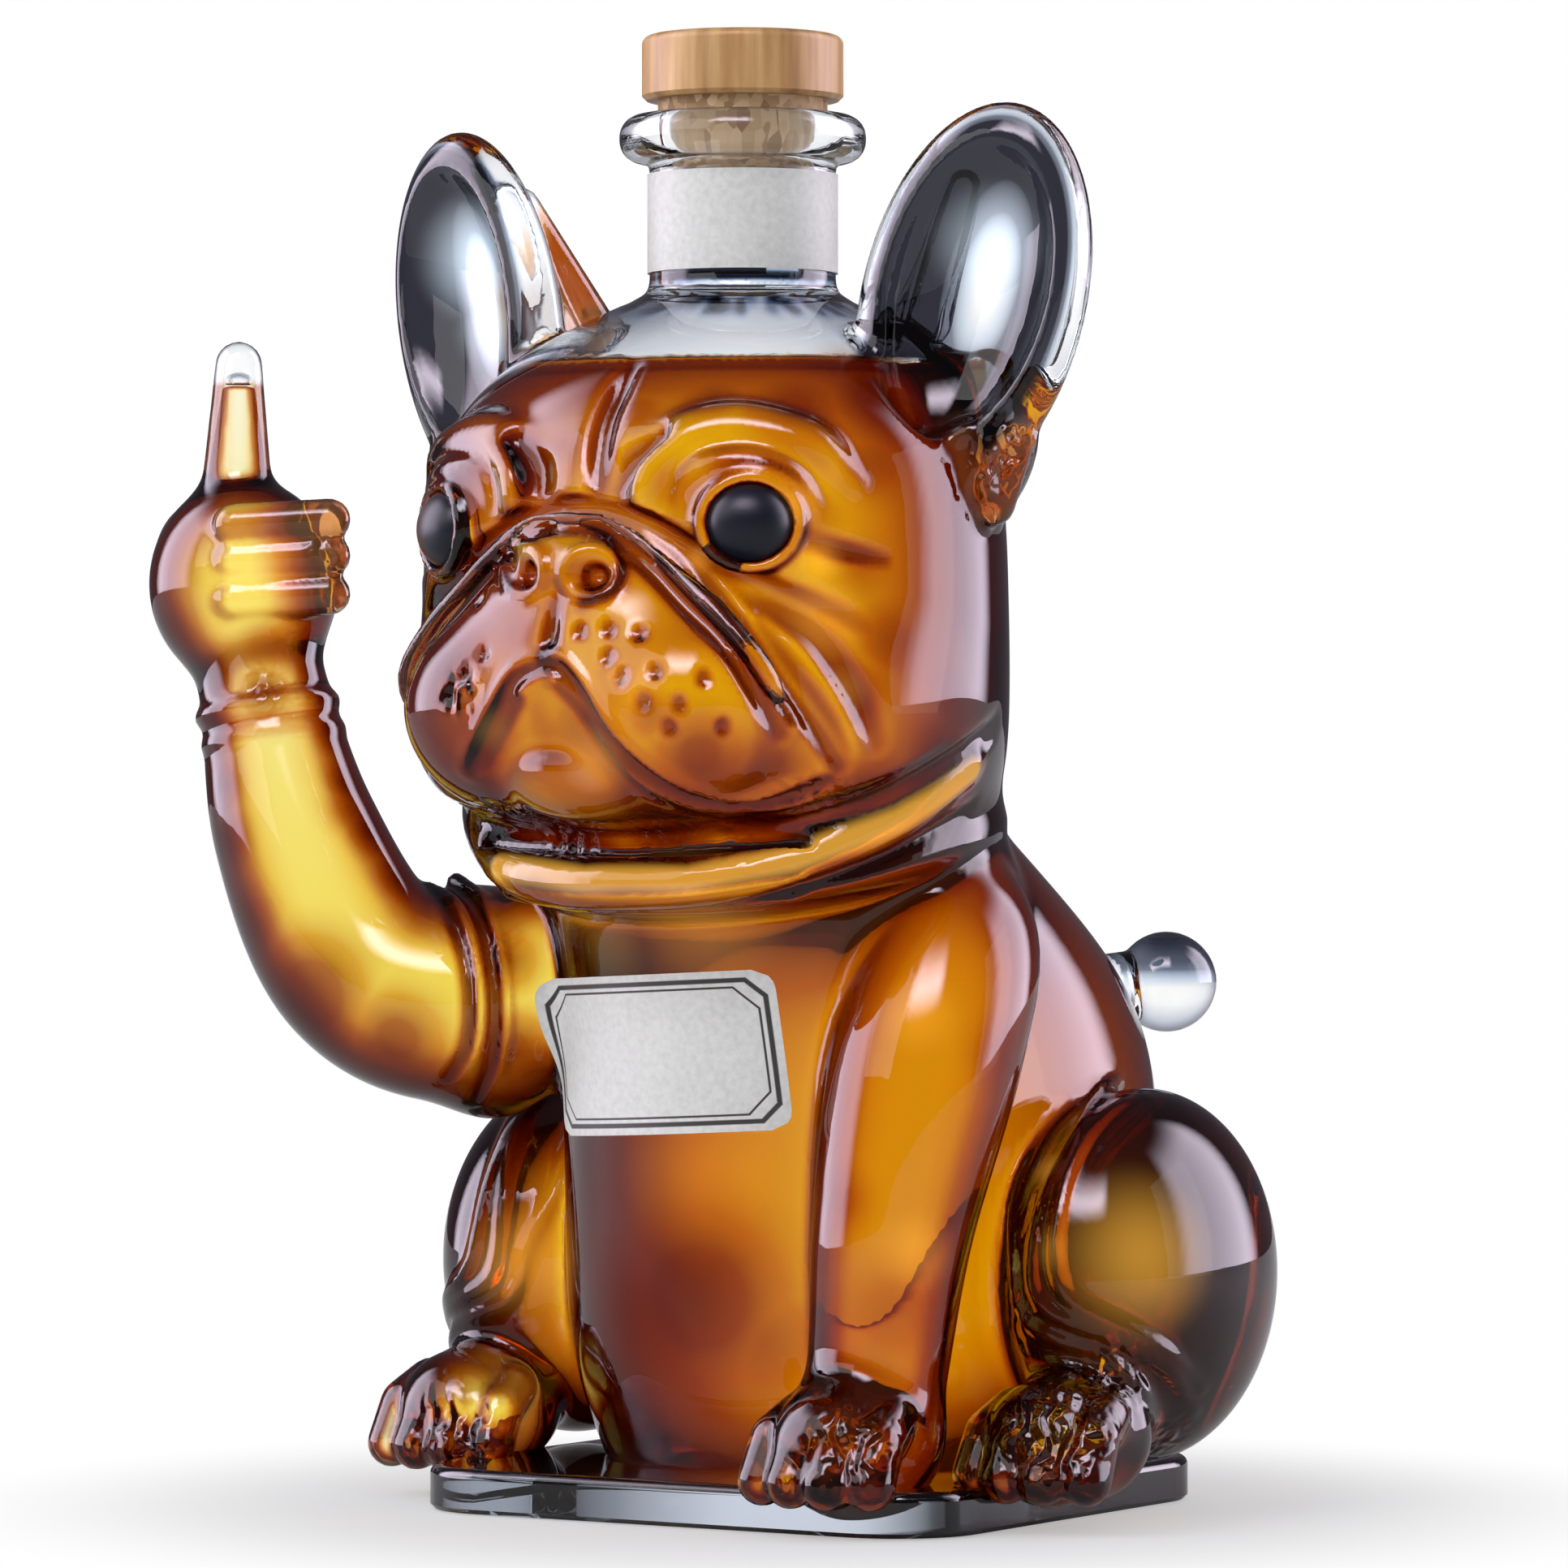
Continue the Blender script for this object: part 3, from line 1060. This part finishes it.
# Lamps: name, azimuth in degrees, height, distance, size and power
LAMPS = (("key_box", -20, 0.6, 0.8, (0.6, 0.6), 2.6), ("fill_box", 110, 0.35, 0.9, (0.5, 0.7), 1.0))
LAMP_AIM = Vector((0, 0, 0.12))
SENSOR = 36


def level_way(azimuth):
    """A level direction by its azimuth in degrees, from the front to the dog's left."""
    a = math.radians(azimuth)
    return math.sin(a), -math.cos(a), 0


def window(tree, around, rise, azimuth, half_width, low, high, power):
    """A soft-edged window in the studio."""
    sockets = {0: around, 1: level_way(azimuth)}
    dot = node(tree, "ShaderNodeVectorMath", sockets, operation="DOT_PRODUCT").outputs["Value"]
    edges = [math.cos(math.radians(half_width + blur)) for blur in (WINDOW_BLUR, -WINDOW_BLUR)]
    foot = value_between(tree, rise, low - WINDOW_FOOT_BLUR, low + WINDOW_FOOT_BLUR)
    head = value_between(tree, rise, high + WINDOW_HEAD_BLUR, high - WINDOW_HEAD_BLUR)
    up = number(tree, "MULTIPLY", foot, head)
    return number(tree, "MULTIPLY", number(tree, "MULTIPLY", value_between(tree, dot, *edges), up), power)


def studio():
    """A white surround, tall windows at both sides that only gloss shows, and two plain lamps."""
    world = bpy.data.worlds.new("studio")
    bpy.context.scene.world = world
    world.use_nodes = True
    tree = world.node_tree
    plain = tree.nodes["Background"]
    plug(tree, plain.inputs["Color"], (0.95, 0.96, 1.0))
    plug(tree, plain.inputs["Strength"], 0.62)
    way = parts(tree, place(tree, "Generated"))
    flat = node(tree, "ShaderNodeCombineXYZ", {"X": way["X"], "Y": way["Y"]}).outputs["Vector"]
    around = node(tree, "ShaderNodeVectorMath", {0: flat}, operation="NORMALIZE").outputs["Vector"]
    total, *others = [window(tree, around, way["Z"], *row) for row in WINDOWS]
    for light in (*others, SHINE_FLOOR):
        total = number(tree, "ADD", total, light)
    through = ramp(tree, value_between(tree, way["Z"], -1, 1, "LINEAR"), THROUGH_RAMP)
    rays = node(tree, "ShaderNodeLightPath").outputs
    last = plain.outputs["Background"]
    for ray, sockets in (
        ("Is Glossy Ray", {"Color": (0.95, 0.83, 1.0), "Strength": total}),
        ("Is Transmission Ray", {"Color": through}),
        ("Is Camera Ray", {"Color": (1, 1, 1)}),
    ):
        seen = node(tree, "ShaderNodeBackground", sockets).outputs["Background"]
        last = node(tree, "ShaderNodeMixShader", {"Fac": rays[ray], 1: last, 2: seen}).outputs["Shader"]
    plug(tree, tree.nodes["World Output"].inputs["Surface"], last)
    for name, azimuth, rise, distance, size, power in LAMPS:
        lamp = bpy.data.lights.new(name, "AREA")
        lamp.shape = "RECTANGLE"
        lamp.size, lamp.size_y = size
        lamp.energy = power
        x, y, _ = level_way(azimuth)
        spot = Vector((x * distance, y * distance, rise))
        stand(name, lamp, spot, LAMP_AIM - spot)
    bpy.ops.mesh.primitive_plane_add(size=6, location=(0, 0, -0.0002))
    floor = bpy.context.object
    floor.name = "floor"
    floor.data.materials.append(floor_material())


def stand(name, data, location, way):
    """Puts a lamp or a camera in its place, looking one way."""
    holder = bpy.data.objects.new(name, data)
    holder.location = location
    holder.rotation_euler = way.to_track_quat("-Z", "Y").to_euler()
    bpy.context.scene.collection.objects.link(holder)
    return holder


def camera():
    """The photograph's camera."""
    data = bpy.data.cameras.new("camera")
    data.sensor_width = SENSOR
    data.lens = SENSOR * FOCAL_PIXELS / PHOTO_PIXELS
    bpy.context.scene.camera = stand("camera", data, Vector(EYE_POINT * MM), Vector(-BACK))


# Pieces

def dress(obj, mat, body, slot_name, *nodes):
    obj.data.materials.clear()
    obj.data.materials.append(mat)
    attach(obj, body)
    if nodes:
        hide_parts(*nodes)


def label_patch(name, f):
    """The chest label: a sheet with rounded corners laid on the surface from the front."""
    (columns, rows), (width, height) = LABEL_GRID, LABEL_SIZE
    c, s = math.cos(LABEL_TILT), math.sin(LABEL_TILT)
    points, sides = [], []
    for j in range(rows + 1):
        v = (j / rows - 0.5) * height
        inset = max(0.0, abs(v) - (height / 2 - LABEL_CORNER))
        half = width / 2 - LABEL_CORNER + math.sqrt(max(LABEL_CORNER ** 2 - inset ** 2, 0))
        for i in range(columns + 1):
            u = (i / columns * 2 - 1) * half
            points.append((LABEL_PLACE[0] + c * u - s * v, LABEL_START, LABEL_PLACE[1] + s * u + c * v))
            sides.append((u, v))
    laid = f.hit(points, np.tile((0.0, 1.0, 0.0), (len(points), 1)), LABEL_REACH)
    laid = laid + f.normals(laid) * LABEL_LIFT
    first = [j * (columns + 1) + i for j in range(rows) for i in range(columns)]
    faces = [(n, n + 1, n + columns + 2, n + columns + 1) for n in first]
    obj = mesh_object(name, laid, faces)
    layer = obj.data.uv_layers.new(name="millimetres")
    layer.data.foreach_set("uv", [value for loop in obj.data.loops for value in sides[loop.vertex_index]])
    return obj


def build():
    """The glass, the liquor and the chest label, and the looks of the pieces that stay as packed."""
    outer, cavity = glass_forms()
    outer.soften(1)
    air = cavity.copy()
    air.keep_between(FILL_RISE, MOUTH_RISE + BORE_OVER)
    glass = outer.copy()
    glass.d = np.maximum(outer.d, -air.d)
    skin = field_mesh("blown_glass", glass)
    points = np.array([v.co for v in skin.data.vertices]) / MM
    fill = cavity.copy()
    fill.keep_between(0, FILL_RISE - SEEP)
    for side in (1, -1):
        fill.cut(ellipsoid(eye_centre(side), EYE_HALF, turned(z=side * EYE_TURN), grow=EYE_CLEAR))
    contents = field_mesh("amber_liquor", fill)
    lines = Field(FIELD_LOW, FIELD_HIGH, VOXEL)
    for shape in GROOVES:
        lines.add(shape)
    wet = np.clip((WET_DEPTH - cavity.sample(points)) / WET_FADE, 0, 1)
    for name, values in (
        ("line", np.clip(LINE_STRENGTH - lines.sample(points) * LINE_FADE, 0, 1)),
        ("smoke", smoke_shade(points)),
        ("copper", copper_shade(points)),
        ("deep", deep_shade(outer, points)),
        ("gold", gold_shade(outer, points)),
        ("crinkle", patches(outer, points, CRINKLE)),
        ("calm", patches(outer, points, CALM)),
        ("filled", wet * np.clip(FILL_RISE + 1 - points[:, 2], 0, 1)),
    ):
        skin.data.attributes.new(name, "FLOAT", "POINT").data.foreach_set("value", values)
    dress(
        skin, blown_glass(), "decanter", "clear_glass", "torso", "haunch_left", "haunch_right", "foreleg",
        "fore_paw", "hind_paw_left", "hind_paw_right", "raised_arm", "raised_hand", "collar_roll", "head",
        "ear_left", "ear_right", "tail", "bottle_neck",
    )
    dress(contents, amber_liquor(), "decanter", "liquor", "liquor")
    chest = label_patch("chest_label_sheet", outer)
    dress(chest, label_paper(True), "decanter", "label_paper", "chest_label")
    for name, look in (
        ("eye_left", black_glass()), ("eye_right", black_glass()), ("base_slab", slab_glass()),
        ("neck_label", label_paper(False)), ("stopper_cap", turned_wood()), ("stopper_cork", cork()),
    ):
        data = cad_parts[name].data
        data.materials.clear()
        data.materials.append(look)


studio()
camera()
build()
scene = bpy.context.scene
scene.view_settings.view_transform = "Standard"
